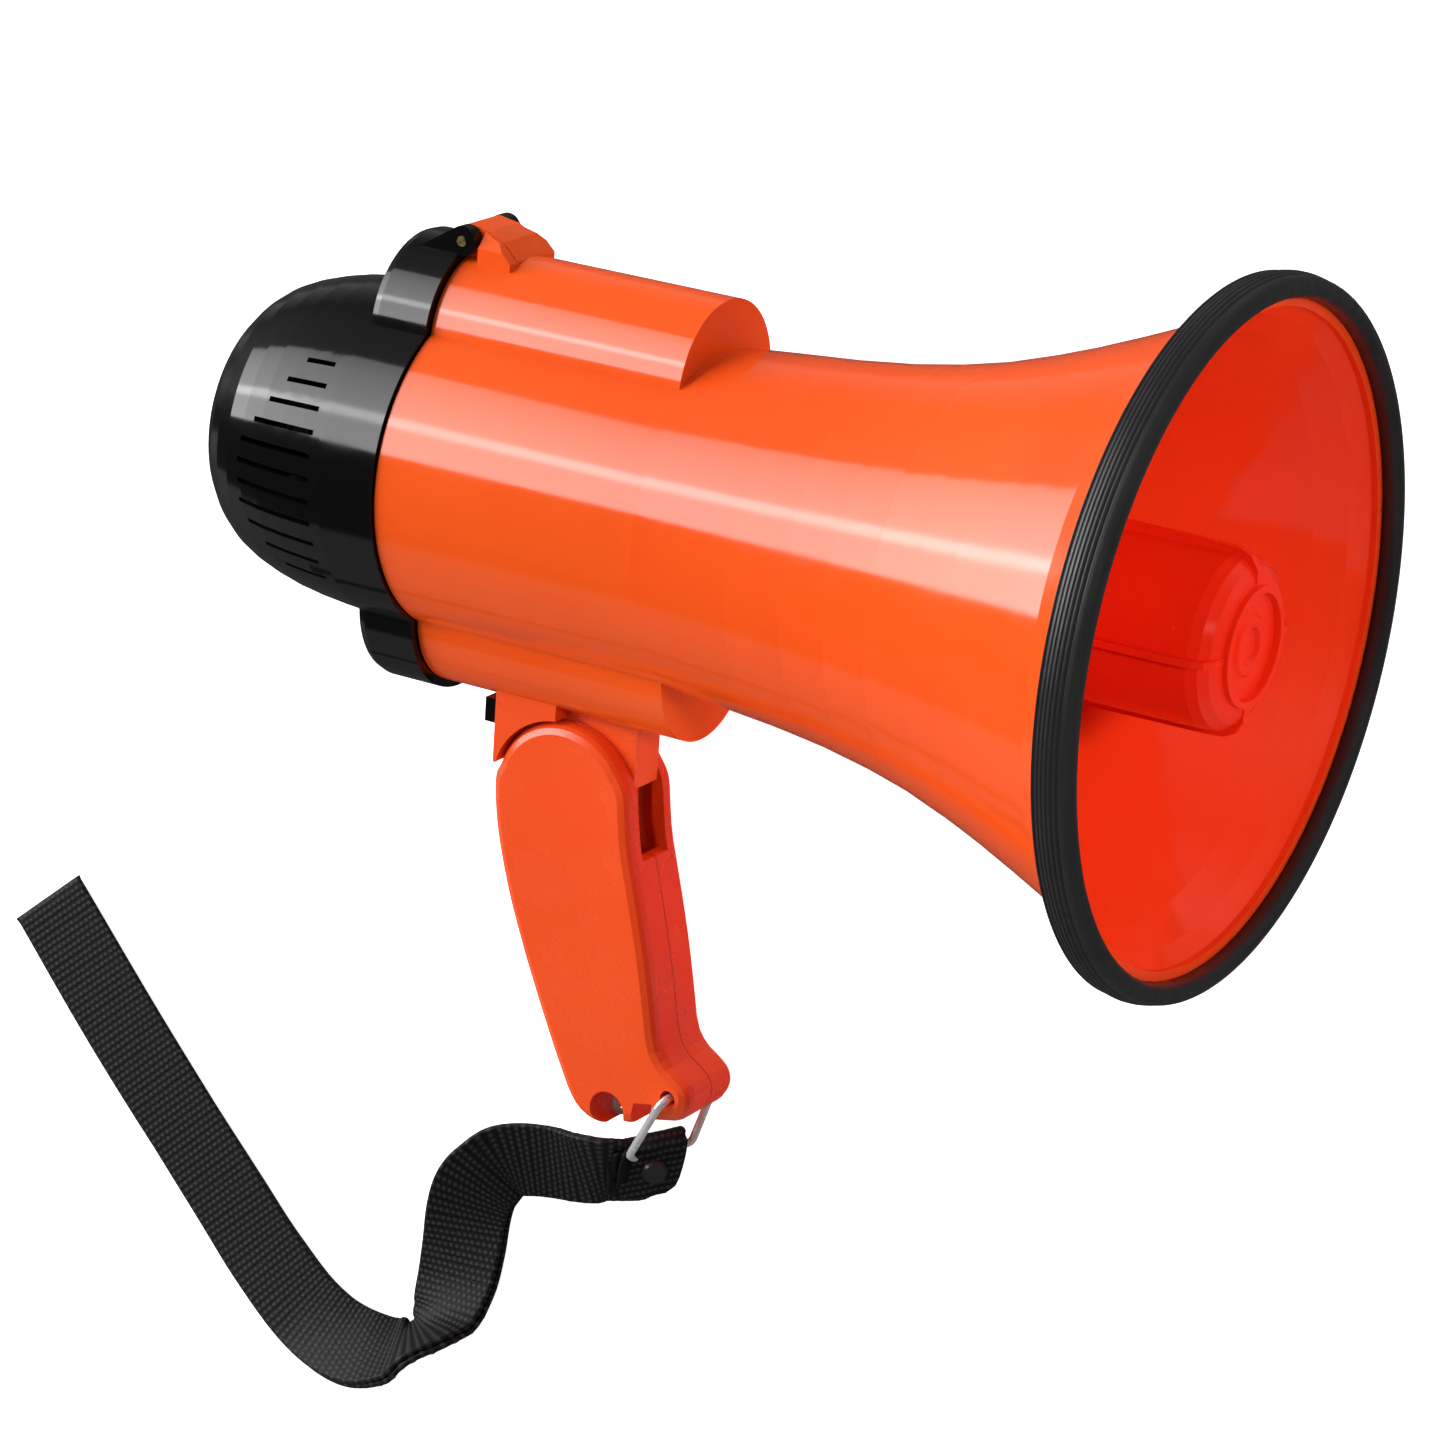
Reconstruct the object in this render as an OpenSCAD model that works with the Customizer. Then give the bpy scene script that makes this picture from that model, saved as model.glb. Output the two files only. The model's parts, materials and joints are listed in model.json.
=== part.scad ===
// Handheld megaphone with a folding grip, hinged rear cover and wrist strap.
// Millimetres. The modules are drawn along the horn axis: +X to the mouth,
// +Z up, +Y to the left side, zero at the centre of the mouth. The last lines
// lay the whole thing on its left side, resting on rim, rear cover and grip.

/* [Horn] */
// Outside radius of the rubber rim
rim_r = 80; // [60:0.5:110]
// Axial width of the rubber rim
rim_w = 9; // [5:0.5:14]
// Outside radius of the bell where it meets the barrel
bell_r = 39.4; // [34:0.1:45]
// Wall of the bell
bell_wall = 2.2; // [1.6:0.1:4]
// Radius of the central reflector
reflector_r = 19.5; // [14:0.5:26]

/* [Barrel] */
// Outside radius of the barrel
barrel_r = 39; // [34:0.5:45]
// Distance from the mouth to the bell joint
joint_x = 131; // [110:1:160]
// Distance from the mouth to the rear of the barrel
rear_x = 199; // [180:1:240]
// Wall of the barrel
barrel_wall = 2.4; // [1.6:0.1:4]
// Outside radius of the battery humps
hump_r = 19.6; // [18:0.1:24]
// Height of the upper hump centre over the axis
hump_up = 31.2; // [28:0.1:36]
// Depth of the lower hump centre under the axis
hump_dn = 33; // [28:0.1:36]

/* [Rear cover] */
// Outside radius of the cover band
cover_r = 40; // [38:0.5:46]
// Length of the cover behind the barrel
cover_len = 61; // [40:1:80]
// Opening shown, degrees
cover_open = 0; // [0:1:110]

/* [Grip] */
// Grip pivot behind the mouth
pivot_x = 163.7; // [150:0.1:175]
// Grip pivot under the axis
pivot_z = 71.4; // [66:0.1:80]
// Half thickness of the grip
grip_t = 10.5; // [9:0.5:16]
// Radius of the round top of the grip
grip_top_r = 18; // [15:0.5:20]
// Half thickness of the fixed lug in the grip
lug_t = 5; // [4:0.5:7]

/* [Strap] */
// Thickness of the doubled webbing
strap_t = 3; // [1:0.5:4]

/* [Rest] */
// Rise of the horn axis towards the mouth, degrees
lie_tilt = 10.58; // [0:0.01:20]
// Turn about the horn axis short of flat on the side, degrees
lie_roll = 17.1; // [0:0.05:40]
// Shift along the table
off_x = 121.562; // [0:0.01:200]
// Shift across the table
off_y = 35.97; // [-50:0.01:100]
// Height of the mouth centre over the table
lift = 79.645; // [60:0.01:110]

/* [Hidden] */
$fn = 72;
hump_face = joint_x + 2;
bore_r = barrel_r - barrel_wall;
tube_r = 16.3;
tube_o = 18;
cell_r = 7.1;
cell_len = 50.5;
pin_x = rear_x - 0.4;
pin_z = hump_up + hump_r + 2.9;
lug_f = 16.7;
ring_x = 129.4;
ring_z = 136.4;
wire_r = 0.95;
ring_bend = 2.2;
ring_turn = -4;
foot_y = 9.2;

orange = [0.93, 0.30, 0.10];
red_orange = [0.90, 0.22, 0.10];
black = [0.06, 0.06, 0.07];
steel = [0.72, 0.73, 0.75];
green = [0.10, 0.35, 0.18];

// Solid of revolution about the horn axis from [x, r] pairs.
module rev(pts, n = 120) {
  rotate([0, 90, 0]) rotate_extrude($fn = n)
    polygon([for (p = pts) [p[1], p[0]]]);
}
// Cylinder along X from x0 to x1.
module xcyl(x0, x1, r, y = 0, z = 0) {
  translate([x0, y, z]) rotate([0, 90, 0]) cylinder(r = r, h = x1 - x0);
}
// Cylinder along Y from y0 to y1.
module ycyl(y0, y1, r, x = 0, z = 0) {
  translate([x, y1, z]) rotate([90, 0, 0]) cylinder(r = r, h = y1 - y0);
}
// Box from one corner to the other.
module bx(a, b) { translate(a) cube([b[0] - a[0], b[1] - a[1], b[2] - a[2]]); }
// Plate in the side plane, from [x, z] points, y0 to y1.
module side(pts, y0, y1) {
  translate([0, y1, 0]) rotate([90, 0, 0]) linear_extrude(height = y1 - y0)
    polygon(pts);
}

// Block along X, from [y, z] points, x0 to x1.
module cross(pts, x0, x1) {
  translate([x0, 0, 0]) rotate([90, 0, 90]) linear_extrude(height = x1 - x0)
    polygon(pts);
}
// ---- horn -----------------------------------------------------------------
bell_out = [[-joint_x, bell_r], [-120, 40.4], [-105, 41.7], [-90, 43.6],
  [-78, 45.8], [-66, 48.7], [-54, 52.6], [-44, 56.3], [-34, 60.4],
  [-25, 64.3], [-17, 68], [-10, 71.8], [-6, 74.6]];
bell_in = [for (i = [0 : len(bell_out) - 1])
  [bell_out[i][0], bell_out[i][1] - bell_wall]];

module bell() {
  color(orange) difference() {
    union() {
      rev(concat(bell_out, [for (i = [len(bell_in) - 1 : -1 : 0]) bell_in[i]]));
      rev([[-joint_x - 7, bore_r - 0.1], [-joint_x, bore_r - 0.1],
           [-joint_x, bell_r - 0.5], [-joint_x + 3, bell_r - 0.5],
           [-joint_x + 3, 34.4], [-joint_x - 7, 34.4]]);
      rev([[-96, 28.5], [-96, 42], [-93, 42.4], [-93, 28.5]]);
      rev([[-6, 72.4], [-6, 75.4], [-4.4, 75.4], [-4.4, 72.4]]);
    }
    for (a = [45 : 90 : 315]) rotate([a, 0, 0]) xcyl(-97, -92, 1.5, 0, 31.6);
    xcyl(-joint_x - 8, -hump_face + 0.1, tube_o + 0.15, 0, hump_up);
    xcyl(-joint_x - 8, -hump_face + 0.1, tube_o + 0.15, 0, -hump_dn);
  }
}

module rim_guard() {
  color(black) rev([[0, rim_r - 2.4], [0, rim_r - 4], [-0.4, rim_r - 4.8], [-1.6, rim_r - 5.4],
    [-4.3, rim_r - 5.6], [-4.3, rim_r - 4.5], [-6.2, rim_r - 4.5],
    [-6.2, rim_r - 5.4], [-rim_w, rim_r - 7.35], [-rim_w, rim_r - 1.2],
    [-7.6, rim_r - 0.4], [-6.6, rim_r - 0.9], [-5.6, rim_r],
    [-4.6, rim_r - 0.5], [-3.6, rim_r], [-2.6, rim_r - 0.7],
    [-1.7, rim_r - 0.4], [-1, rim_r - 1.4], [-0.5, rim_r - 1.7]], 180);
}

module reflector() {
  r = reflector_r;
  color(red_orange) union() {
    rev([[-60, r - 2], [-60, r], [-5, r], [-2.4, r - 0.6], [-0.4, r - 2.2],
         [0.6, r - 4], [0.8, r - 6], [2, r - 6.1], [2, r - 7.6], [0.4, r - 7.8],
         [0.2, 7], [0.9, 6.2], [0.9, 4.2], [0, 3.6], [0, 0], [-2.4, 0],
         [-2.4, r - 4], [-4, r - 2]]);
    for (a = [0 : 90 : 270]) rotate([a, 0, 0])
      translate([0, 0.8, 0]) rotate([90, 0, 0]) linear_extrude(height = 1.6)
        polygon([[1.1, r - 6.2], [1, r - 2.6], [-0.6, r + 0.2], [-3.2, r + 1.5],
                 [-8, r + 1.8], [-58, r + 2.2], [-64, r + 5], [-70, r + 14],
                 [-76, 43.95], [-78, 43.5], [-88, 41.65], [-88, 30],
                 [-62, r - 1], [-4, r - 1], [-1.6, r - 6.2]]);
  }
}

module throat_tube() {
  color(black) rev([[-96, 9.4], [-96, 26], [-93.6, 26], [-93.6, 12.4],
    [-88, 11.6], [-14, 13.4], [-14, 12], [-88, 9.4]]);
}

// ---- driver ---------------------------------------------------------------
module driver_plate() {
  color(black) difference() {
    rev([[-97.6, 10.6], [-97.6, 28], [-100, 28], [-100, 34], [-96, 34], [-96, 9.8]]);
    for (a = [45 : 90 : 315]) rotate([a, 0, 0]) xcyl(-101, -95, 1.5, 0, 31.6);
  }
}
module diaphragm() {
  color([0.82, 0.8, 0.7]) rev([[-100.6, 31], [-100, 31], [-100, 27],
    [-98.6, 25.6], [-98.2, 24.6], [-100, 23.4], [-99, 15], [-98.4, 11],
    [-98.2, 0], [-98.6, 0], [-99, 11], [-99.6, 15], [-100.6, 23.6],
    [-100.6, 26]]);
}
module voice_coil() {
  color([0.72, 0.40, 0.18]) rev([[-112, 13], [-112, 13.8], [-99.45, 13.8],
    [-99.45, 13]]);
}
module driver_magnet() {
  color([0.2, 0.2, 0.22]) rev([[-116, 17], [-116, 30], [-106, 30], [-106, 17]]);
}
module driver_yoke() {
  color(steel) union() {
    rev([[-120, 0], [-120, 30], [-116, 30], [-116, 12.2], [-104, 12.2],
         [-104, 0]]);
    rev([[-106, 14.6], [-106, 30], [-102, 30], [-102, 14.6]]);
  }
}
module driver_screws() {
  color(steel) for (a = [45 : 90 : 315]) rotate([a, 0, 0]) {
    xcyl(-99.8, -92.8, 1.4, 0, 31.6);
    xcyl(-93, -91.4, 2.6, 0, 31.6);
  }
}
module driver_can() {
  color(black) rev([[-122, 0], [-122, 34], [-100, 34], [-100, 31.4],
    [-101.4, 31.4], [-101.4, 30.4], [-120, 30.4], [-120, 0]]);
}

// ---- barrel ---------------------------------------------------------------
module barrel_housing() {
  color(orange) difference() {
    union() {
      xcyl(-rear_x, -joint_x, barrel_r);
      xcyl(-rear_x, -hump_face, hump_r, 0, hump_up);
      xcyl(-rear_x, -hump_face, hump_r - 0.4, 0, -hump_dn);
      // hinge block on the upper hump
      difference() {
        union() {
          side([[-pin_x, hump_up + 15], [-pin_x, pin_z + 3.4],
                [-pin_x + 5, pin_z + 2.6], [-pin_x + 9, pin_z + 0.8],
                [-pin_x + 13, pin_z - 3], [-pin_x + 13, hump_up + 15]], -6, 6);
          // broad foot in front of the ears
          intersection() {
            side([[-pin_x + 4.2, hump_up + 10], [-pin_x + 4.2, pin_z + 2.4],
                  [-pin_x + 9, pin_z + 0.6], [-pin_x + 13, pin_z - 3.2],
                  [-pin_x + 13, hump_up + 10]], -foot_y, foot_y);
            cross([[-foot_y, hump_up + 10], [-foot_y, pin_z - 1], [-6, pin_z + 2.4],
                   [6, pin_z + 2.4], [foot_y, pin_z - 1], [foot_y, hump_up + 10]],
                  -pin_x + 4, -pin_x + 14);
          }
        }
        bx([-rear_x - 5, -10, 0], [-rear_x, 10, 60]);
      }
      ycyl(-6, 6, 3.4, -pin_x, pin_z);
    }
    difference() {
      xcyl(-rear_x - 1, -joint_x + 1, bore_r);
      xcyl(-rear_x - 2, -hump_face, tube_o, 0, hump_up);
      xcyl(-rear_x - 2, -hump_face, tube_o, 0, -hump_dn);
      for (s = [-1, 1]) bx([-190, min(s * 31.5, s * 38), -4],
                           [-145, max(s * 31.5, s * 38), -1]);
    }
    xcyl(-rear_x - 1, -hump_face - 2.6, tube_r, 0, hump_up);
    xcyl(-rear_x - 1, -hump_face - 2.6, tube_r, 0, -hump_dn);
    ycyl(-9, 9, 1.2, -pin_x, pin_z);
    for (x = [-170, -152]) translate([x, 0, -60])
      cylinder(r = 1.25, h = 12, $fn = 24);
  }
}

module cells(dz, k) {
  a = 90 + 120 * k;
  y = 8.3 * cos(a);
  z = dz + 8.3 * sin(a);
  xcyl(-rear_x + 2.8, -rear_x + 2.8 + cell_len - 1.4, cell_r, y, z);
  xcyl(-rear_x + 2.8 + cell_len - 1.4, -rear_x + 2.8 + cell_len, 2.7, y, z);
}
module carrier(dz) {
  f = -rear_x + 2.8 + cell_len;
  color(black) union() {
    xcyl(-rear_x + 1, -rear_x + 2.8, tube_r - 0.1, 0, dz);
    xcyl(f, f + 1.8, tube_r - 0.1, 0, dz);
    xcyl(-rear_x + 2, f + 1, 1, 0, dz);
  }
}
module contact_springs() {
  f = -rear_x + 4.6 + cell_len;
  color(steel) for (dz = [hump_up, -hump_dn]) {
    xcyl(-hump_face - 3.2, -hump_face - 2.6, 12, 0, dz);
    for (k = [0 : 2]) {
      a = 90 + 120 * k;
      y = 8.3 * cos(a) * 0.8;
      z = dz + 8.3 * sin(a) * 0.8;
      translate([f, y, z]) rotate([0, 90, 0]) rotate_extrude($fn = 36)
        polygon([[2.4, 0], [3.4, 0], [4.6, -hump_face - 3.2 - f],
                 [3.6, -hump_face - 3.2 - f]]);
    }
  }
}
module amp_board() { color(green) bx([-188, -33.4, -1], [-146, 33.4, 0.6]); }
module amp_heatsink() {
  color(steel) union() {
    bx([-158, 16, 0.6], [-148, 30, 2.2]);
    for (y = [16 : 2.8 : 29]) bx([-158, y, 2], [-148, y + 1.2, 11]);
  }
}
module amp_capacitors() {
  color([0.12, 0.14, 0.35]) for (p = [[-182, -26, 5, 10], [-170, -27, 4, 9],
    [-160, -28, 3, 7], [-182, 26, 4, 9]])
    translate([p[0], p[1], 0.6]) cylinder(r = p[2], h = p[3], $fn = 40);
}
module amp_chip() {
  color(black) union() {
    bx([-176, 4, 0.6], [-164, 11, 3]);
    bx([-178, -8, 0.6], [-170, -3, 2.4]);
    bx([-158, -6, 0.6], [-150, 0, 2.8]);
  }
}

// ---- grip mount and talk button ------------------------------------------
module grip_mount() {
  color(orange) difference() {
    union() {
      bx([-182.2, -grip_t, -66.4], [-165.8, grip_t, -45]);
      bx([-182.2, -lug_t, -66.4], [-pivot_x + lug_f, lug_t, -50]);
      ycyl(-lug_t, lug_t, 12, -pivot_x, -pivot_z);
    }
    xcyl(-rear_x, -hump_face, hump_r - 0.4, 0, -hump_dn);
    // round seat for the top of the grip, both sides of the lug
    for (s = [0, 1]) mirror([0, s, 0])
      ycyl(lug_t, grip_t + 1, grip_top_r + 0.6, -pivot_x, -pivot_z);
    ycyl(-grip_t, grip_t, 3.06, -pivot_x, -pivot_z);
    // guide for the talk button
    bx([-183, -4.35, -59.9], [-173.6, 4.35, -53.4]);
    bx([-180.9, -4.35, -59.9], [-173.6, 4.35, -52.3]);
    for (x = [-170, -152]) {
      translate([x, 0, -70]) cylinder(r = 1.3, h = 22, $fn = 24);
      translate([x, 0, -70]) cylinder(r = 2.6, h = 5.6, $fn = 24);
    }
  }
}
module mount_screws() {
  color(steel) for (x = [-170, -152]) {
    translate([x, 0, -66]) cylinder(r = 2.4, h = 1.6, $fn = 24);
    translate([x, 0, -64.5]) cylinder(r = 1.2, h = 14.4, $fn = 24);
  }
}
module talk_switch() { color(black) bx([-175.4, -3.4, -59.6], [-173.7, 3.4, -54]); }
module talk_button() {
  color(black) union() {
    bx([-189.2, -4, -59.6], [-179.2, 4, -53.8]);
    bx([-180.6, -4, -59.6], [-179.2, 4, -52.7]);
  }
}
module button_spring() {
  color(steel) translate([-178.9, 0, -56.8]) rotate([0, 90, 0]) difference() {
    cylinder(r = 2, h = 3.4, $fn = 36);
    translate([0, 0, -1]) cylinder(r = 1.4, h = 6, $fn = 36);
  }
}

// ---- rear cover -----------------------------------------------------------
dome_out = [[-rear_x - 0.4, cover_r], [-214, cover_r], [-214.4, 39.4],
  [-221, 39], [-227, 38.4], [-233, 37.5], [-238.5, 36.2], [-243.5, 34.6],
  [-247.5, 32.8], [-251, 30.4], [-254, 27.4], [-256.4, 23.6],
  [-258.2, 19], [-259.2, 14], [-259.8, 8], [-260, 0]];
module dome_solid(t) {
  intersection() {
    rev(concat([for (p = dome_out) [p[0] + t * (p[0] < -230 ? 1 : 0), max(0, p[1] - t)]],
      [[-rear_x - 0.4, 0]]), 144);
    bx([-270, -60, -60], [-rear_x - 0.4, 60, 60]);
  }
}
module cover_lobe(z, t, r) {
  translate([0, 0, z]) rev([[-rear_x - 0.4, 0], [-rear_x - 0.4, r - t],
    [-212.6 + t, r - t], [-214.4 + t, r - 0.6 - t], [-215.4 + t, r - 2 - t],
    [-215.4 + t, 0]], 96);
}
module rear_cover() {
  color(black) difference() {
    union() {
      dome_solid(0);
      cover_lobe(hump_up, 0, hump_r + 2);
      cover_lobe(-hump_dn, 0, hump_r + 1.6);
      for (s = [-1, 1]) {
        ycyl(min(s * 6.4, s * 9.4), max(s * 6.4, s * 9.4), 3.5, -pin_x, pin_z);
        side([[-pin_x - 15, pin_z - 7], [-pin_x - 12, pin_z - 3.4],
              [-pin_x - 2.6, pin_z + 2.5], [-pin_x - 0.8, pin_z - 3],
              [-pin_x - 0.8, pin_z - 7]],
             min(s * 6.4, s * 9.4), max(s * 6.4, s * 9.4));
      }
    }
    dome_solid(2.2);
    cover_lobe(hump_up, 2.2, hump_r + 2);
    cover_lobe(-hump_dn, 2.2, hump_r + 1.6);
    // seat round the knuckle of the barrel
    ycyl(-6.4, 6.4, 4, -pin_x, pin_z);
    ycyl(-10, 10, 1.26, -pin_x, pin_z);
    // side vents
    for (s = [-1, 1], k = [0 : 10]) rotate([s * (90 + (k - 5) * 8), 0, 0])
      bx([-225.5 - min(14, 3.3 * k, 4 * (11 - k)), -0.6, 26], [-217.4, 0.6, 42]);
    // sound hole, volume shaft and mode slot in the rear
    xcyl(-262, -255, 9.05);
    xcyl(-262, -240, 3.4, 17, -13);
    bx([-262, 8, 15], [-248.9, 13.8, 26.4]);
  }
}
module cover_divider() {
  color(black) difference() {
    union() {
      xcyl(-rear_x - 4.2, -rear_x - 2, cover_r - 2.25);
      xcyl(-rear_x - 4.2, -rear_x - 2, hump_r - 0.25, 0, hump_up);
      xcyl(-rear_x - 4.2, -rear_x - 2, hump_r - 0.65, 0, -hump_dn);
    }
    ycyl(-6.4, 6.4, 4.3, -pin_x, pin_z);
    xcyl(-rear_x - 5, -rear_x, 5);
  }
}
module cover_contacts() {
  color(steel) for (dz = [hump_up, -hump_dn]) {
    xcyl(-rear_x - 2, -rear_x - 1.4, 14.5, 0, dz);
    for (k = [0 : 2]) xcyl(-rear_x - 1.4, -rear_x + 0.6, 2.2,
      8 * cos(90 + 120 * k), dz + 8 * sin(90 + 120 * k));
  }
}
module mic_grille() {
  color(black) difference() {
    xcyl(-260, -258, 9);
    for (i = [0 : 5], j = [0 : 5]) if (norm([i - 2.5, j - 2.5]) < 2.7)
      translate([-261, (i - 2.5) * 2.6, (j - 2.5) * 2.6]) rotate([0, 90, 0])
        cylinder(r = 0.75, h = 4, $fn = 16);
  }
}
module mic_foam() { color([0.12, 0.12, 0.12]) xcyl(-258, -255.4, 9); }
module mic_capsule() { color(steel) union() {
  xcyl(-255.4, -248, 4.9);
  xcyl(-248, -247, 4);
} }
module volume_pot() {
  color(steel) difference() {
    union() {
      xcyl(-248.4, -241, 6.4, 17, -13);
      xcyl(-256, -248.4, 3.3, 17, -13);
    }
    xcyl(-257, -243, 1.56, 17, -13);
  }
}
module volume_knob() {
  color(black) difference() {
    union() {
      xcyl(-263.4, -259.8, 6.6, 17, -13);
      xcyl(-260, -245, 1.5, 17, -13);
    }
    for (a = [0 : 20 : 340]) translate([0, 17, -13]) rotate([a, 0, 0])
      xcyl(-264, -259, 0.5, 0, 6.8);
    bx([-264, 16.6, -10], [-263, 17.4, -5]);
  }
}
module mode_switch() { color(steel) bx([-248.8, 7, 14], [-243, 13.2, 23.6]); }
module mode_slider() { color(black) union() {
  bx([-256, 8.5, 16], [-253.2, 13.1, 21.4]);
  bx([-259, 9.2, 17], [-249.6, 12.4, 20.4]);
} }
module cover_pin() {
  color([0.78, 0.62, 0.33]) ycyl(-9.7, 9.7, 1.2, -pin_x, pin_z);
}

// ---- grip -----------------------------------------------------------------
function arc_pts(r, a0, a1, n) = [for (i = [0 : n]) let (a = a0 + (a1 - a0) * i / n)
  [-pivot_x + r * cos(a), -pivot_z + r * sin(a)]];
// Rear and front edges of the grip from top to bottom, the same number of points.
grip_rear = concat(arc_pts(grip_top_r, 95, 165, 8),
  [[-182.6, -69.6], [-182.3, -75.5], [-181.4, -82], [-179.6, -89.5],
   [-177, -98], [-175.3, -102.7], [-173.4, -107.5], [-171.4, -112.5],
   [-169.2, -117.5], [-167, -122.5], [-164.7, -127.5], [-162.6, -132],
   [-160.4, -136.5], [-157.4, -142.4], [-154.6, -145.9], [-151, -147.8]]);
grip_front = concat(arc_pts(grip_top_r, 85, 32, 5), arc_pts(grip_top_r + 0.6, 20, 0, 2),
  [[-144, -79.5], [-142, -87], [-139.6, -96], [-137.2, -106],
   [-135.2, -116], [-133.6, -124.8], [-131, -128.6], [-127.2, -130.9],
   [-124.4, -133.2], [-123.6, -136.4], [-124.7, -139.6], [-127, -142],
   [-130.5, -142.8], [-135, -143.8], [-141.5, -146.6], [-147, -148.1]]);
// Closed outline with each corner cut to a short slope.
function ease(p) = let (n = len(p)) [for (i = [0 : n - 1])
  each [0.75 * p[i] + 0.25 * p[(i + 1) % n], 0.25 * p[i] + 0.75 * p[(i + 1) % n]]];
grip_outline = ease(concat(grip_rear,
  [for (i = [len(grip_front) - 1 : -1 : 0]) grip_front[i]]));

// Outline moved inwards by t along the bisecting normals.
function inset(p, t) = let (n = len(p)) [for (i = [0 : n - 1])
  let (a = p[(i + n - 1) % n], b = p[i], c = p[(i + 1) % n],
       u = (b - a) / norm(b - a), v = (c - b) / norm(c - b),
       m = [-(u[1] + v[1]), u[0] + v[0]], l = norm(m))
  b + m / l * t / max(0.6, l / 2)];

module loft(rings, ys) {
  n = len(rings[0]);
  m = len(rings);
  pts = [for (j = [0 : m - 1]) for (q = rings[j]) [q[0], ys[j], q[1]]];
  polyhedron(points = pts, faces = concat(
    [for (k = [0 : n / 2 - 2]) each [[k, k + 1, n - 2 - k], [k, n - 2 - k, n - 1 - k]]],
    [for (j = [0 : m - 2], i = [0 : n - 1])
      let (a = j * n + i, b = j * n + (i + 1) % n)
      each [[b, a, a + n], [b, a + n, b + n]]],
    [for (k = [0 : n / 2 - 2]) let (o = (m - 1) * n)
      each [[o + n - 2 - k, o + k + 1, o + k], [o + n - 1 - k, o + n - 2 - k, o + k]]]),
    convexity = 8);
}

screw_at = [[-168, -90], [-151.5, -96], [-150, -130]];
ring_at = [-ring_x, -ring_z];

module grip_half() {
  difference() {
    loft([grip_outline, grip_outline, inset(grip_outline, 0.35),
          inset(grip_outline, 1.1), inset(grip_outline, 2.5)],
         [0, grip_t - 3, grip_t - 1.7, grip_t - 0.7, grip_t]);
    // hollow, leaving the pivot boss and the screw bosses
    difference() {
      side([[-178.6, -74], [-177, -84], [-172.6, -99], [-164.6, -119],
            [-157.4, -134.4], [-139.4, -134.4], [-138, -118], [-143.6, -92],
            [-148, -76], [-148.6, -67], [-156, -58.4], [-166, -57],
            [-175, -60.6], [-178, -66]], -1, grip_t - 2.4);
      ycyl(lug_t + 0.4, grip_t, 8.5, -pivot_x, -pivot_z);
      for (p = screw_at) ycyl(-2, grip_t, 3.6, p[0], p[1]);
    }
    // slot the fixed lug sweeps through
    bx([-190, -1, -66.8], [-130, lug_t + 0.4, -40]);
    bx([-pivot_x + 4, -1, -82.9], [-130, lug_t + 0.4, -60]);
    // notch between the two feet
    side([[-140.4, -152], [-138.4, -139.8], [-133.5, -138.8], [-133.9, -152]],
         -1, grip_t + 1);
    // pivot and strap ring bores
    ycyl(-1, grip_t - 2, 3, -pivot_x, -pivot_z);
    ycyl(-1, grip_t + 1, wire_r + 0.07, -ring_x, -ring_z);
    ycyl(6.5, grip_t + 1, 2, -ring_x, -ring_z);
    translate([-147, 0, -142.4]) rotate([0, 90, 0])
      rotate_extrude($fn = 64) translate([4.9, 0]) circle(r = 0.85, $fn = 20);
  }
}
module grip_left() {
  color(orange) difference() {
    grip_half();
    for (p = screw_at) {
      ycyl(-1, grip_t + 1, 1.5, p[0], p[1]);
      ycyl(grip_t - 2.6, grip_t + 1, 2.9, p[0], p[1]);
    }
    // the rear foot is cut back here, so the notch shows through
    side([[-149.5, -153], [-149.5, -142.5], [-146, -139.6], [-133.5, -138.8],
          [-133.9, -153]], -1, grip_t + 1);
  }
}
module grip_right() {
  color(orange) mirror([0, 1, 0]) difference() {
    grip_half();
    for (p = screw_at) ycyl(-1, 8, 1.25, p[0], p[1]);
    ycyl(-1, grip_t + 1, 4.6, -145.6, -143.6);
    side([[-145.6, -143.6], [-138, -146.4], [-134, -150], [-143, -154]], -1, grip_t + 1);
  }
}
module grip_screws() {
  color(steel) for (p = screw_at) difference() {
    union() {
      ycyl(grip_t - 2.6, grip_t - 0.9, 2.7, p[0], p[1]);
      ycyl(-7, grip_t - 2, 1.2, p[0], p[1]);
    }
    bx([p[0] - 2, grip_t - 1.5, p[1] - 0.35], [p[0] + 2, grip_t, p[1] + 0.35]);
    bx([p[0] - 0.35, grip_t - 1.5, p[1] - 2], [p[0] + 0.35, grip_t, p[1] + 2]);
  }
}
module grip_pin() { color(steel) ycyl(-grip_t + 2, grip_t - 2, 3, -pivot_x, -pivot_z); }
module keeper_ring() {
  color(steel) translate([-147, 0, -142.4]) rotate([0, 90, 0])
    rotate_extrude($fn = 64) translate([4.9, 0]) circle(r = 0.8, $fn = 20);
}

// ---- strap, drawn on the table --------------------------------------------
// Ring corners: out of the grip on the upper side, through the tab and back.
ring_pts = [on_table([-ring_x, -grip_t - 2.8, -ring_z]), [-134.1, -150.9, 12.6],
            [-121.2, -144.3, 5.8], on_table([-ring_x, grip_t + 2.8, -ring_z])];
function unit(v) = v / norm(v);
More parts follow.
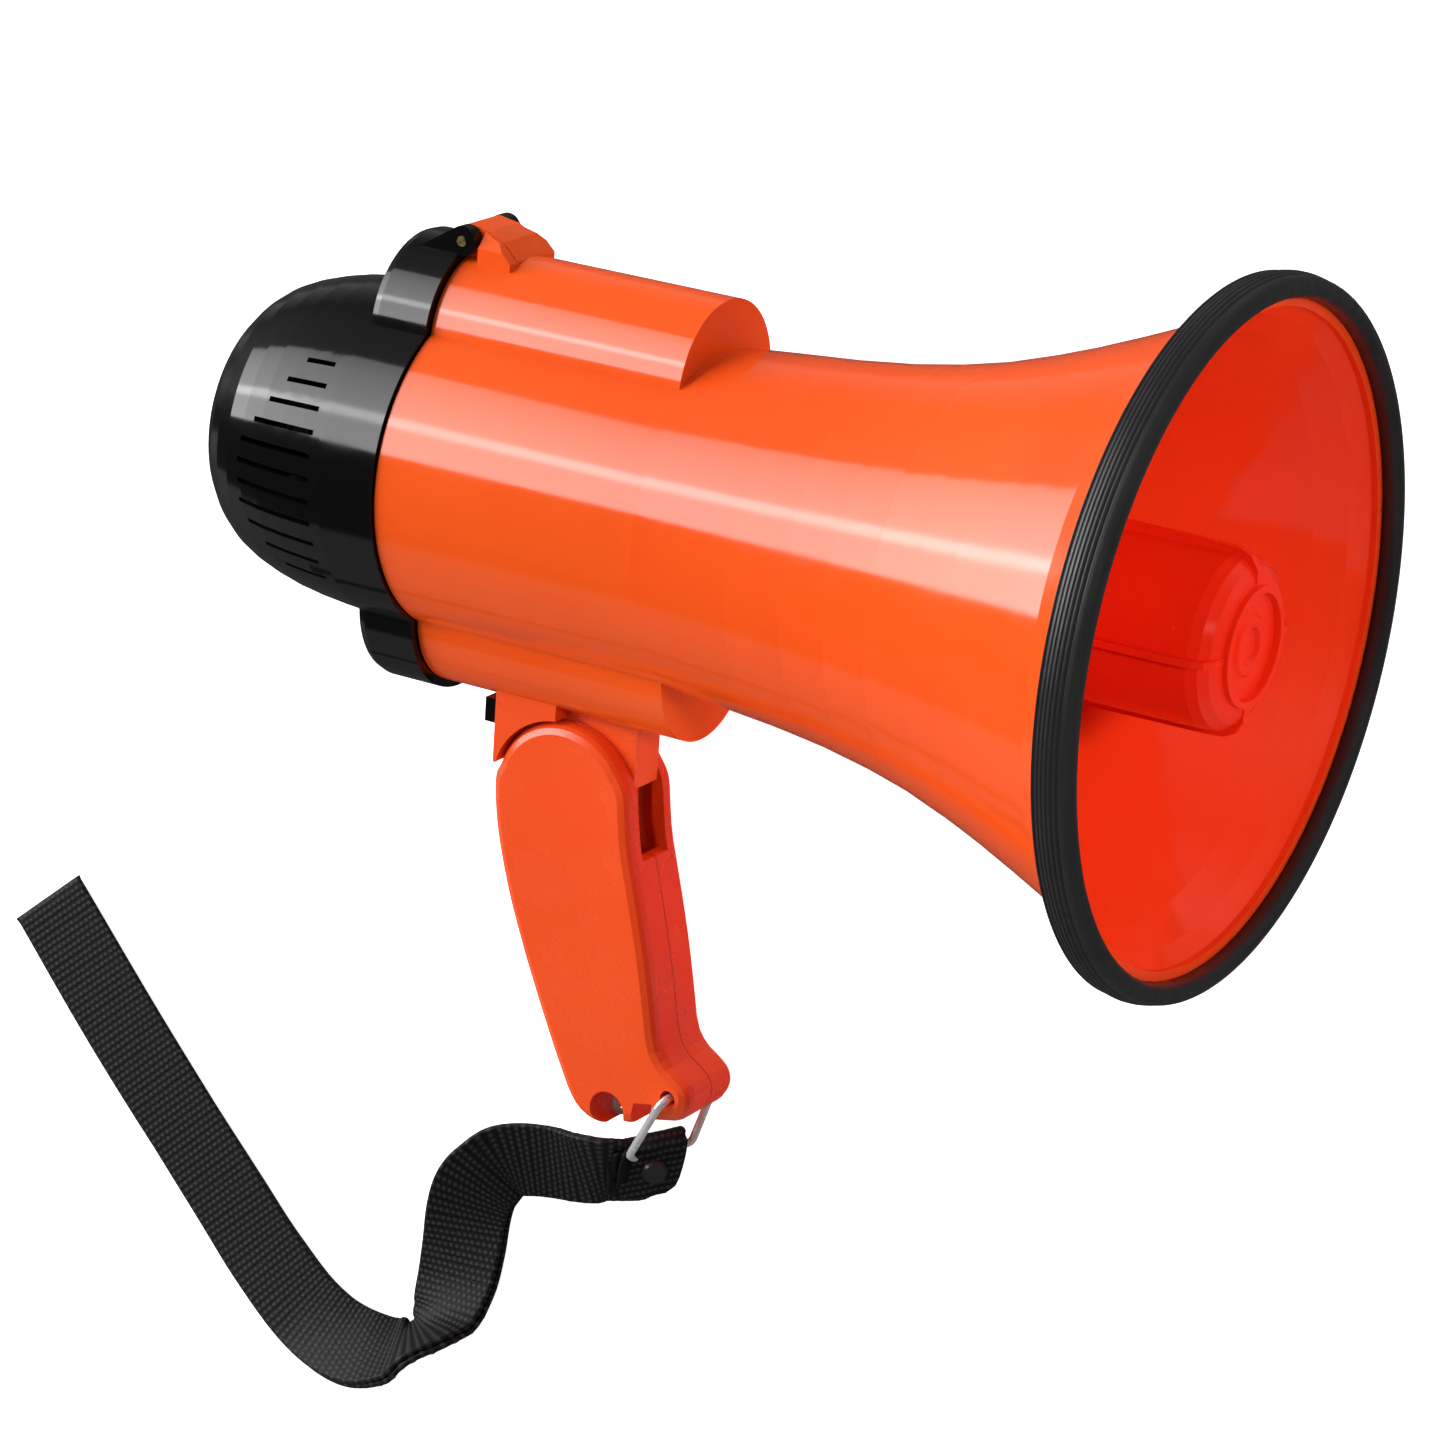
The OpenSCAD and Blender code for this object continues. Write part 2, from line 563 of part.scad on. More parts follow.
// The corners are bent, the legs between them are straight.
ring_line = [for (i = [0 : 3]) let (p = ring_pts[i],
    a = unit(ring_pts[(i + 3) % 4] - p), b = unit(ring_pts[(i + 1) % 4] - p),
    h = acos(a * b) / 2, c = p + unit(a + b) * ring_bend / sin(h),
    s = unit(p + a * ring_bend / tan(h) - c), e = unit(p + b * ring_bend / tan(h) - c),
    w = 180 - 2 * h) for (k = [0 : 6])
    c + ring_bend * (sin(w * (1 - k / 6)) * s + sin(w * k / 6) * e) / sin(w)];
module loop(pts, r, m) {
  n = len(pts);
  flat = unit(cross(pts[floor(n / 2)] - pts[0], pts[floor(3 * n / 4)] - pts[floor(n / 4)]));
  v = [for (i = [0 : n - 1]) let (t = unit(pts[(i + 1) % n] - pts[(i + n - 1) % n]),
      q = unit(cross(t, flat)), u = cross(t, q)) for (k = [0 : m - 1])
      pts[i] + r * (cos(360 * k / m) * q + sin(360 * k / m) * u)];
  polyhedron(points = v, faces = [for (i = [0 : n - 1], k = [0 : m - 1]) let (
      a = i * m + k, b = i * m + (k + 1) % m, c = ((i + 1) % n) * m + k,
      d = ((i + 1) % n) * m + (k + 1) % m) each [[a, c, b], [b, c, d]]], convexity = 6);
}

// Where a point of the horn ends up once the thing is laid down.
function on_table(p) = let (c = cos(lie_tilt), s = sin(lie_tilt),
  y = p[1] * sin(lie_roll) + p[2] * cos(lie_roll),
  z = p[2] * sin(lie_roll) - p[1] * cos(lie_roll))
  [p[0] * c - z * s, y, lift + p[0] * s + z * c];

// Flat band through pairs of edge points, t thick.
module ribbon(e, t) {
  n = len(e);
  c = [for (q = e) (q[0] + q[1]) / 2];
  off = [for (i = [0 : n - 1]) let (
    w = e[i][1] - e[i][0],
    d = c[min(i + 1, n - 1)] - c[max(i - 1, 0)],
    m = cross(d, w)) m / norm(m) * t / 2];
  pts = [for (i = [0 : n - 1]) for (q = [e[i][0] + off[i], e[i][1] + off[i],
    e[i][1] - off[i], e[i][0] - off[i]]) q];
  polyhedron(points = pts, faces = concat(
    [[2, 1, 0], [3, 2, 0]],
    [for (i = [0 : n - 2], k = [0 : 3]) let (a = i * 4 + k, b = i * 4 + (k + 1) % 4)
      each [[b, a + 4, a], [b + 4, a + 4, b]]],
    [let (o = (n - 1) * 4) [o, o + 1, o + 2], let (o = (n - 1) * 4) [o, o + 2, o + 3]]),
    convexity = 8);
}
strap_edges = [
  [[-138.2, -149.5, 14.5], [-139.8, -162, 5.5]],
  [[-145, -149, 14], [-145.5, -165, 4]],
  [[-152, -148, 12.5], [-151, -167, 3]],
  [[-159, -149, 12], [-157, -168, 3]],
  [[-166, -152, 12], [-161.5, -169, 3]],
  [[-173, -158, 12], [-161.5, -171, 3]],
  [[-178.5, -165, 10], [-161, -173, 3]],
  [[-181, -174, 7], [-160.5, -176, 3]],
  [[-180.5, -184, 5], [-160, -183, 4]],
  [[-180, -194, 4], [-160, -191, 6]],
  [[-179.5, -202, 4], [-161.5, -199, 11]],
  [[-180, -206, 3.5], [-166, -204, 17]],
  [[-181.5, -207, 3.2], [-171.5, -209, 20]],
  [[-184.5, -207, 3], [-176, -215, 18]],
  [[-189, -206, 3], [-184, -219.5, 14.5]],
  [[-195, -204, 2.5], [-194.5, -221, 10]],
  [[-203, -199.5, 2.5], [-208, -218, 5]],
  [[-213.5, -191, 2.2], [-224.5, -207.5, 2.8]],
  [[-227, -179, 2], [-239, -195, 2]],
  [[-261, -148, 2], [-274, -163.5, 2]],
  [[-289, -121, 2], [-303, -135.5, 2]]];
tab_edges = [
  [[-131.7, -146.7, 12.5], [-123.3, -142.4, 8.1]],
  [[-131.3, -150.9, 10.9], [-122.9, -146.7, 6.5]],
  [[-137.4, -156, 11], [-120, -148, 4.5]],
  [[-137, -161, 7], [-124, -157, 3.4]]];
rivet_at = [-128.7, -152, 7.7];
rivet_up = [0.47, -0.39, 0.79];

module on_rivet() {
  translate(rivet_at)
    rotate([0, acos(rivet_up[2] / norm(rivet_up)), atan2(rivet_up[1], rivet_up[0])])
      children();
}
module ring_rest() {
  c = on_table([-ring_x, 0, -ring_z]);
  translate(c) rotate(a = ring_turn, v = on_table([-ring_x, 1, -ring_z]) - c)
    translate(-c) children();
}
module strap_ring() { color(steel) loop(ring_line, wire_r, 16); }
module strap_tab() {
  color(black) difference() {
    ribbon(tab_edges, 3.4);
    let (b = ring_pts[1], d = unit(ring_pts[2] - ring_pts[1])) translate(b - 6 * d)
      rotate([0, acos(d[2]), atan2(d[1], d[0])])
        cylinder(r = wire_r + 0.1, h = 30, $fn = 48);
    on_rivet() union() {
      cylinder(r = 1.25, h = 10, center = true, $fn = 24);
      translate([0, 0, 1.72]) cylinder(r = 3.3, h = 3, $fn = 48);
      translate([0, 0, -4.72]) cylinder(r = 2.6, h = 3, $fn = 48);
    }
  }
}
module strap_rivet() {
  color([0.1, 0.1, 0.11]) on_rivet() union() {
    translate([0, 0, 1.75]) cylinder(r1 = 3.1, r2 = 2.5, h = 0.8, $fn = 48);
    translate([0, 0, -2.2]) cylinder(r = 1.2, h = 4.2, $fn = 24);
    translate([0, 0, -2.3]) cylinder(r = 2.4, h = 0.55, $fn = 48);
  }
}
module strap() { color(black) ribbon(strap_edges, strap_t); }

// ---- placing ------------------------------------------------------------------
module lie() {
  translate([off_x, off_y, lift]) rotate([0, -lie_tilt, 0])
    rotate([-(90 - lie_roll), 0, 0]) children();
}
module table() { translate([off_x, off_y, 0]) children(); }
module swing() {
  translate([-pin_x, 0, pin_z]) rotate([0, cover_open, 0])
    translate([pin_x, 0, -pin_z]) children();
}
lie() barrel_housing();
lie() bell();
lie() rim_guard();
lie() reflector();
lie() throat_tube();
lie() driver_plate();
lie() diaphragm();
lie() voice_coil();
lie() driver_magnet();
lie() driver_yoke();
lie() driver_can();
lie() driver_screws();
lie() amp_board();
lie() amp_heatsink();
lie() amp_capacitors();
lie() amp_chip();
lie() carrier(hump_up);  // carrier_upper
lie() carrier(-hump_dn);  // carrier_lower
lie() color([0.75, 0.6, 0.2]) cells(hump_up, 0);  // cell_upper_a
lie() color([0.75, 0.6, 0.2]) cells(hump_up, 1);  // cell_upper_b
lie() color([0.75, 0.6, 0.2]) cells(hump_up, 2);  // cell_upper_c
lie() color([0.75, 0.6, 0.2]) cells(-hump_dn, 0);  // cell_lower_a
lie() color([0.75, 0.6, 0.2]) cells(-hump_dn, 1);  // cell_lower_b
lie() color([0.75, 0.6, 0.2]) cells(-hump_dn, 2);  // cell_lower_c
lie() contact_springs();
lie() grip_mount();
lie() mount_screws();
lie() talk_switch();
lie() talk_button();
lie() button_spring();
lie() cover_pin();
lie() swing() rear_cover();
lie() swing() cover_divider();
lie() swing() cover_contacts();
lie() swing() mic_grille();
lie() swing() mic_foam();
lie() swing() mic_capsule();
lie() swing() volume_pot();
lie() swing() volume_knob();
lie() swing() mode_switch();
lie() swing() mode_slider();
lie() grip_left();
lie() grip_right();
lie() grip_screws();
lie() grip_pin();
lie() keeper_ring();
table() ring_rest() strap_ring();
table() ring_rest() strap_tab();
table() ring_rest() strap_rivet();
table() strap();
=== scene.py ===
import json
import math

import bmesh
import bpy
import numpy as np
from mathutils import Matrix, Vector

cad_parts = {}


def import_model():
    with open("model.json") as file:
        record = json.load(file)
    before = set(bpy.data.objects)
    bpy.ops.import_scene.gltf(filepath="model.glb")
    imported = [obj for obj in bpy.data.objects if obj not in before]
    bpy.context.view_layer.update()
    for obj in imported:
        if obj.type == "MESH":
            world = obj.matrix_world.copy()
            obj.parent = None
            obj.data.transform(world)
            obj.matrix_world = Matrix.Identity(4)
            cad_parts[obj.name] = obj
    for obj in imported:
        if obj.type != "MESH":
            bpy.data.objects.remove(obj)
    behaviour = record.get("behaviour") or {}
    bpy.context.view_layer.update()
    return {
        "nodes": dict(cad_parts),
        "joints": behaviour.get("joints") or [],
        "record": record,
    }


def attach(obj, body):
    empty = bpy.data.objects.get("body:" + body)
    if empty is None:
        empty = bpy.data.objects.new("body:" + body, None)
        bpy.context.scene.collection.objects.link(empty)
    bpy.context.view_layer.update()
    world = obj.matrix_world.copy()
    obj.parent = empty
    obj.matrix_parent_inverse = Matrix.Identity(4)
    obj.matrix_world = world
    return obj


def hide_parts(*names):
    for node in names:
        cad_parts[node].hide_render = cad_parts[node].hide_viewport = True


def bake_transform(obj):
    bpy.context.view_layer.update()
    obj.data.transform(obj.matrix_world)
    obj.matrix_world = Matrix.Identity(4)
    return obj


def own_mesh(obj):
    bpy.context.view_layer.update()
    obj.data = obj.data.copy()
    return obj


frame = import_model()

MM = 0.001
RECORD = frame["record"]
NODES = frame["nodes"]


# ---- the horn's own axes, out of the record's joints --------------------------
JOINTS = {j["name"]: j for j in frame["joints"]}
EX = Vector(JOINTS["talk_press"]["axis"]).normalized()      # towards the mouth
EY = Vector(JOINTS["cover_hinge"]["axis"]).normalized()     # towards the table
EZ = EX.cross(EY).normalized()                              # top of the horn
HINGE = Vector((-198.6, 0, 53.7))                           # cover pin, horn frame, mm
ORIGIN = (Vector(JOINTS["cover_hinge"]["pos_m"])
          - (EX * HINGE.x + EY * HINGE.y + EZ * HINGE.z) * MM)


def horn(x, y=0.0, z=0.0):
    """A point given in the horn's own frame in mm, in the row frame in metres."""
    return ORIGIN + (EX * x + EY * y + EZ * z) * MM


def horn_dir(v):
    """A direction given in the horn's own frame, in the row frame."""
    return (EX * v[0] + EY * v[1] + EZ * v[2]).normalized()


def table(p):
    """A point drawn on the table under the mouth's centre in mm, in the row frame in metres."""
    return Vector((p[0] * MM + ORIGIN.x, p[1] * MM + ORIGIN.y, p[2] * MM))


# ---- camera -------------------------------------------------------------------
def add_camera():
    cam = bpy.data.cameras.new("camera")
    cam.sensor_width = 36.0
    cam.lens = 134.36
    cam.clip_start, cam.clip_end = 0.05, 60.0
    right = horn_dir((0.8495, 0.5237, 0.0646))
    back = horn_dir((0.4797, -0.8175, 0.3186))
    up = back.cross(right).normalized()
    right = up.cross(back)
    m = Matrix((right, up, back)).transposed().to_4x4()
    m.translation = horn(458.0, -998.1, 342.1)
    o = bpy.data.objects.new("camera", cam)
    bpy.context.scene.collection.objects.link(o)
    o.matrix_world = m
    bpy.context.scene.camera = o


add_camera()


# ---- materials ----------------------------------------------------------------
SEAM_HALF = 0.11 * MM                                       # half the dark line's width


class Nodes:
    """A short way to wire one Principled material."""

    def __init__(self, name, **values):
        self.m = bpy.data.materials.new(name)
        self.m.use_nodes = True
        self.t = self.m.node_tree
        self.b = self.t.nodes["Principled BSDF"]
        for k, v in values.items():
            self.b.inputs[k.replace("_", " ")].default_value = v
        coord = self.add("ShaderNodeTexCoord")
        self.pos = coord.outputs["Object"]
        self.normal = coord.outputs["Normal"]
        self.bumps = []

    def add(self, kind, **props):
        n = self.t.nodes.new(kind)
        for k, v in props.items():
            setattr(n, k, v)
        return n

    def put(self, socket, value):
        if isinstance(value, bpy.types.NodeSocket):
            self.t.links.new(value, socket)
        else:
            socket.default_value = value

    def noise(self, scale, detail=2.0, rough=0.5, at=None, distort=0.0):
        """A noise texture's value, scale in cycles a metre."""
        n = self.add("ShaderNodeTexNoise")
        self.put(n.inputs["Vector"], at or self.pos)
        n.inputs["Scale"].default_value = scale
        n.inputs["Detail"].default_value = detail
        n.inputs["Roughness"].default_value = rough
        n.inputs["Distortion"].default_value = distort
        return n.outputs["Fac"]

    def cells(self, scale):
        """Distance to the nearest point of a cell texture."""
        n = self.add("ShaderNodeTexVoronoi", feature="F1")
        self.put(n.inputs["Vector"], self.pos)
        n.inputs["Scale"].default_value = scale
        return n.outputs["Distance"]

    def span(self, x, lo, hi, a=0.0, b=1.0):
        """x from lo..hi to a..b, clamped."""
        n = self.add("ShaderNodeMapRange")
        for i, v in enumerate((x, lo, hi, a, b)):
            self.put(n.inputs[i], v)
        return n.outputs[0]

    def math(self, op, a, b=0.0):
        n = self.add("ShaderNodeMath", operation=op)
        self.put(n.inputs[0], a)
        self.put(n.inputs[1], b)
        return n.outputs[0]

    def mix(self, f, a, b):
        n = self.add("ShaderNodeMix", data_type="RGBA")
        self.put(n.inputs[0], f)
        self.put(n.inputs[6], a)
        self.put(n.inputs[7], b)
        return n.outputs[2]

    def vector(self, op, a, b):
        n = self.add("ShaderNodeVectorMath", operation=op)
        self.put(n.inputs[0], a)
        self.put(n.inputs[1], b)
        return n.outputs["Value" if op == "DOT_PRODUCT" else "Vector"]

    def inside(self):
        """1 where the surface faces the horn's axis, 0 where it faces away: the mask of the painted
        bounce light.
        """
        v = self.vector("SUBTRACT", self.pos, ORIGIN)
        along = self.vector("DOT_PRODUCT", v, EX)
        axis = self.add("ShaderNodeVectorMath", operation="SCALE")
        axis.inputs[0].default_value = EX
        self.put(axis.inputs["Scale"], along)
        out = self.vector("SUBTRACT", v, axis.outputs["Vector"])
        out = self.vector("NORMALIZE", out, (0, 0, 0))
        return self.span(self.vector("DOT_PRODUCT", out, self.normal), -0.05, 0.1, 1.0, 0.0)

    def facing(self, v, lo, hi):
        """0 to 1 as the surface turns towards v: the mask of the painted shade on the side that
        faces the mouth.
        """
        return self.span(self.vector("DOT_PRODUCT", self.normal, v), lo, hi)

    def seam(self):
        """1 on the plane that halves the horn, where the grip's two shells meet."""
        v = self.vector("SUBTRACT", self.pos, ORIGIN)
        off = self.math("ABSOLUTE", self.vector("DOT_PRODUCT", v, EY))
        return self.span(off, SEAM_HALF, SEAM_HALF * 1.6, 1.0, 0.0)

    def scale(self, v):
        """The object's coordinates, stretched."""
        n = self.add("ShaderNodeMapping")
        self.put(n.inputs["Vector"], self.pos)
        n.inputs["Scale"].default_value = v
        return n.outputs[0]

    def color(self, value):
        self.put(self.b.inputs["Base Color"], value)

    def rough(self, value):
        self.put(self.b.inputs["Roughness"], value)

    def bump(self, height, depth, strength):
        """Relief of a depth in mm, over the bumps that are already there."""
        n = self.add("ShaderNodeBump")
        n.inputs["Strength"].default_value = strength
        n.inputs["Distance"].default_value = depth * MM
        self.put(n.inputs["Height"], height)
        if self.bumps:
            self.put(n.inputs["Normal"], self.bumps[-1].outputs[0])
        self.bumps.append(n)
        self.put(self.b.inputs["Normal"], n.outputs[0])


def rgb(r, g, b):
    return (r, g, b, 1.0)


def times(base, share):
    """A colour made darker."""
    return rgb(*[c * share for c in base])


def moulded(name, base, deep, rough, peel, scratch=0.0, gloss=0.5, inner=None,
            front=None, seam=None):
    """Moulded plastic: slow colour drift, orange peel, scratches, painted bounce light on the inner
    side (brighter and redder), painted shade on the side that faces the mouth (darker and redder),
    and the dark line where two shells meet."""
    k = Nodes(name, IOR=1.49, Specular_IOR_Level=gloss)
    tint = k.mix(k.span(k.noise(22, 3), 0.35, 0.7), rgb(*base), rgb(*deep))
    # inner: the side that faces the horn's axis painted brighter and redder, painted bounce light
    if inner:
        tint = k.mix(k.inside(), tint, rgb(*inner))
    # front: the side that faces the mouth painted darker and redder, painted shade
    if front:
        tint = k.mix(k.facing(EX, 0.35, 0.9), tint, rgb(*front))
    if seam:
        tint = k.mix(k.seam(), tint, rgb(*seam))
    k.color(tint)
    k.rough(k.span(k.noise(60, 4, 0.6), 0.3, 0.75, rough * 0.75, rough * 1.35))
    k.bump(k.noise(420, 2), peel, 0.5)
    if scratch:
        lines = k.math("MULTIPLY",
                       k.span(k.noise(30, 6, 0.7, k.scale((1, 14, 14)), 1.2), 0.66, 0.7),
                       k.span(k.noise(9, 1), 0.5, 0.6))
        k.bump(lines, 0.02, scratch)
    return k.m


def metal(name, base, rough, grain=(1, 1, 1), share=1.0):
    """Metal with a brushed grain; share is how much of it is metal under its finish."""
    k = Nodes(name, Metallic=share)
    k.color(k.mix(k.noise(200, 3), rgb(*base), times(base, 0.8)))
    at = k.scale(grain)
    k.rough(k.span(k.noise(700, 3, 0.6, at), 0.3, 0.7, rough * 0.7, rough * 1.4))
    k.bump(k.noise(1500, 2, 0.5, at), 0.02, 0.4)
    return k.m


def rubber(name):
    """Black rubber with a fine grain and a patchy shine."""
    k = Nodes(name, IOR=1.5)
    k.color(k.mix(k.noise(80, 4), rgb(0.011, 0.011, 0.012), rgb(0.021, 0.020, 0.021)))
    k.rough(k.span(k.noise(300, 4, 0.6), 0.3, 0.7, 0.3, 0.46))
    k.bump(k.noise(1400, 3), 0.04, 0.5)
    return k.m


def webbing(name, rough=0.5):
    """Fine filaments over the woven relief that the mesh carries, with painted highlights on its
    bumps and painted shade between them.
    """
    k = Nodes(name, IOR=1.48, Specular_IOR_Level=0.15)
    fibre = k.noise(3800, 3, 0.6)
    bump = k.add("ShaderNodeAttribute", attribute_name="relief").outputs["Fac"]
    # the weave's bumps painted pale and its hollows painted dark, by the mesh's relief: painted
    # highlights and painted shade
    low = k.mix(fibre, rgb(0.0035, 0.0035, 0.0042), rgb(0.0075, 0.0075, 0.0085))
    high = k.mix(fibre, rgb(0.030, 0.030, 0.033), rgb(0.060, 0.060, 0.064))
    k.color(k.mix(bump, low, high))
    k.rough(k.span(fibre, 0.3, 0.7, rough * 0.8, rough * 1.2))
    k.bump(k.noise(5200, 2), 0.08, 0.6)
    k.bump(k.cells(1900), 0.06, 0.5)
    return k.m


def satin(name, base, rough, spread=0.15, tex=900, depth=0.03):
    """A dull surface: spread is its colour drift, tex and depth its fine grain."""
    k = Nodes(name, IOR=1.5)
    k.color(k.mix(k.noise(60, 3), rgb(*base), times(base, 1 - spread)))
    k.rough(k.span(k.noise(120, 3), 0.3, 0.7, rough * 0.85, rough * 1.15))
    k.bump(k.noise(tex, 3), depth, 0.6)
    return k.m


def ringed(name, base, other, pitch, rough, metallic=0.0):
    """Windings, or a sleeve with a band."""
    k = Nodes(name, Metallic=metallic)
    w = k.add("ShaderNodeTexWave", bands_direction="X")
    w.inputs["Scale"].default_value = pitch
    k.put(w.inputs["Vector"], k.pos)
    k.color(k.mix(k.math("MULTIPLY", w.outputs["Fac"], k.noise(300, 2)),
                  rgb(*base), rgb(*other)))
    k.rough(k.span(k.noise(300), 0.3, 0.7, rough * 0.8, rough * 1.2))
    k.bump(w.outputs["Fac"], 0.05, 0.5)
    return k.m


# base and deeper colour of the grip and its mount
GRIP_ORANGE = (0.90, 0.085, 0.012), (0.87, 0.075, 0.010)
MATERIALS = {
    "orange_plastic": moulded("orange_plastic_look", (0.93, 0.105, 0.012),
                              (0.90, 0.092, 0.010), 0.10, 0.01, 0.12),
    "reflector_plastic": moulded("reflector_plastic_look", (0.88, 0.022, 0.004),
                                 (0.82, 0.018, 0.004), 0.22, 0.03, gloss=0.3),
    "black_gloss": moulded("black_gloss_look", (0.0032, 0.0030, 0.0034),
                           (0.0042, 0.0038, 0.0042), 0.10, 0.01, 0.2, gloss=0.42),
    "black_matte": satin("black_matte_look", (0.02, 0.02, 0.021), 0.5),
    "rim_rubber": rubber("rim_rubber_look"),
    "webbing": webbing("webbing_look"),
    "black_rivet": satin("black_rivet_look", (0.02, 0.02, 0.022), 0.34, 0.2),
    "chrome_wire": metal("chrome_wire_look", (0.93, 0.93, 0.95), 0.2, share=0.55),
    "steel": metal("steel_look", (0.50, 0.49, 0.48), 0.3, (1, 1, 4)),
    "brass": metal("brass_look", (0.70, 0.47, 0.20), 0.3),
    "coil_copper": ringed("coil_copper_look", (0.55, 0.2, 0.07), (0.75, 0.35, 0.14),
                          2500, 0.35, 1.0),
    "ferrite": satin("ferrite_look", (0.045, 0.044, 0.046), 0.6, 0.3, 1500, 0.1),
    "diaphragm_film": satin("diaphragm_film_look", (0.55, 0.5, 0.34), 0.35),
    "board_green": satin("board_green_look", (0.015, 0.11, 0.035), 0.3, 0.3, 300),
    "heatsink": metal("heatsink_look", (0.65, 0.66, 0.68), 0.35, (1, 12, 1)),
    "capacitor_sleeve": ringed("capacitor_sleeve_look", (0.01, 0.014, 0.06),
                               (0.03, 0.04, 0.12), 300, 0.35),
    "foam": satin("foam_look", (0.02, 0.02, 0.02), 0.95, 0.5, 1800, 0.6),
    "cell_wrap": ringed("cell_wrap_look", (0.42, 0.26, 0.05), (0.02, 0.02, 0.02),
                        38, 0.28, 0.6),
}
# nodes whose look differs from the rest of their slot
GRIP_PLASTIC = moulded("grip_plastic_look", *GRIP_ORANGE, 0.26, 0.04)
# the bell's inner side is painted brighter and redder: painted bounce light inside the bell
BELL_PLASTIC = moulded("bell_plastic_look", (0.87, 0.090, 0.010), (0.84, 0.080, 0.009),
                       0.10, 0.01, 0.12, inner=(0.95, 0.045, 0.008))
DULL_STEEL = metal("dull_steel_look", (0.46, 0.40, 0.36), 0.42, share=0.7)
# the grip shells' side that faces the mouth is painted darker and redder: painted shade
GRIP_SHELL = moulded("grip_shell_look", *GRIP_ORANGE, 0.26, 0.04,
                     front=(0.80, 0.034, 0.005), seam=(0.22, 0.012, 0.003))
SLOT_OF = {s["node"]: s["material_slot"] for s in RECORD["subparts"]}
SPECIAL = {"bell": BELL_PLASTIC, "grip_left": GRIP_SHELL, "grip_right": GRIP_SHELL,
           "grip_mount": GRIP_PLASTIC, "keeper_ring": DULL_STEEL}
for name, o in NODES.items():
    look = SPECIAL.get(name, MATERIALS[SLOT_OF[name]])
    if not o.material_slots:
        o.data.materials.append(look)
    for s in o.material_slots:
        s.material = look


# ---- mesh helpers -------------------------------------------------------------
def make_object(name, verts, faces, look):
    """A smooth shaded mesh object with its normals facing out."""
    me = bpy.data.meshes.new(name)
    me.from_pydata([tuple(v) for v in verts], [], faces)
    me.validate()
    bm = bmesh.new()
    bm.from_mesh(me)
    bmesh.ops.recalc_face_normals(bm, faces=bm.faces)
    bm.to_mesh(me)
    bm.free()
    me.materials.append(look)
    me.shade_smooth()
    o = bpy.data.objects.new(name, me)
    bpy.context.scene.collection.objects.link(o)
    return o


def tube_faces(rings, sides, base=0):
    """Quads between rings of vertices that follow each other."""
    return [(base + i * sides + k, base + i * sides + (k + 1) % sides,
             base + (i + 1) * sides + (k + 1) % sides, base + (i + 1) * sides + k)
            for i in range(rings - 1) for k in range(sides)]


def strip_ends(rings, sides):
    """Quads that close a flat strip's first and last ring, from one edge to the other."""
    cols = sides // 2 - 1
    return [(s + k, s + k + 1, s + sides - 2 - k, s + sides - 1 - k)
            for s in (0, (rings - 1) * sides) for k in range(cols)]


# ---- rubber rim with fine rings -----------------------------------------------
def rim_profile():
    """(x, r) in mm of the outer face with its ridges, then the groove that grips the bell."""
    rim_r = 80.0
    outer = []
    steps, shoulder, ridges = 110, 0.3, 6
    for i in range(steps + 1):
        t = i / steps
        if t < shoulder:
            a = t / shoulder * math.pi / 2
            outer.append((-2.4 * (1 - math.cos(a)), rim_r - 3.6 + 2.9 * math.sin(a)))
        else:
            s = (t - shoulder) / (1 - shoulder)
            r = rim_r - 0.7 + 0.6 * math.sin(math.pi * min(1, s * 1.15))
            ridge = 0.5 - 0.5 * math.cos(2 * math.pi * s * ridges)
            outer.append((-2.4 - 6.4 * s, r - 0.28 * ridge ** 3))
    inner = [(-9.0, rim_r - 2.2), (-9.0, rim_r - 6.9), (-6.4, rim_r - 5.3),
             (-6.3, rim_r - 4.4), (-4.3, rim_r - 4.4), (-4.2, rim_r - 5.6),
             (-1.6, rim_r - 5.4), (-0.5, rim_r - 4.8), (0.0, rim_r - 4.1)]
    return outer + inner


def rim(steps=256):
    """The rim's profile turned about the horn's axis."""
    profile = rim_profile()
    n = len(profile)
    verts, faces = [], []
    for i in range(steps):
        a = 2 * math.pi * i / steps
        verts += [horn(x, r * math.cos(a), r * math.sin(a)) for x, r in profile]
        j = (i + 1) % steps
        faces += [(i * n + k, i * n + (k + 1) % n, j * n + (k + 1) % n, j * n + k)
                  for k in range(n)]
    o = make_object("rim_rubber_ring", verts, faces, MATERIALS["rim_rubber"])
    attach(o, "horn")
    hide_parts("rim_guard")


rim()


# ---- the talk button's spring -------------------------------------------------
def button_coil():
    """A wire coil between the button and its switch."""
    low, high, axis_z = -178.9, -175.5, -56.8           # its place in the horn's frame, mm
    mean_r, wire_r, turns, steps, sides = 1.7, 0.22, 3.5, 150, 10
    verts = []
    for i in range(steps + 1):
        t = i / steps
        rise = min(1, max(0, (t - 0.12) / 0.76))        # both end turns lie flat
        x = low + wire_r + (high - low - 2 * wire_r) * rise
        a = 2 * math.pi * turns * t
        for k in range(sides):
            b = 2 * math.pi * k / sides
            r = mean_r + wire_r * math.cos(b)
            verts.append(horn(x + wire_r * math.sin(b), r * math.cos(a),
                              axis_z + r * math.sin(a)))
    faces = tube_faces(steps + 1, sides)
    faces += [tuple(range(sides)), tuple(range(steps * sides, (steps + 1) * sides))]
    o = make_object("button_spring_coil", verts, faces, MATERIALS["steel"])
    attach(o, "horn")
    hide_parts("button_spring")
    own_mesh(o)


button_coil()


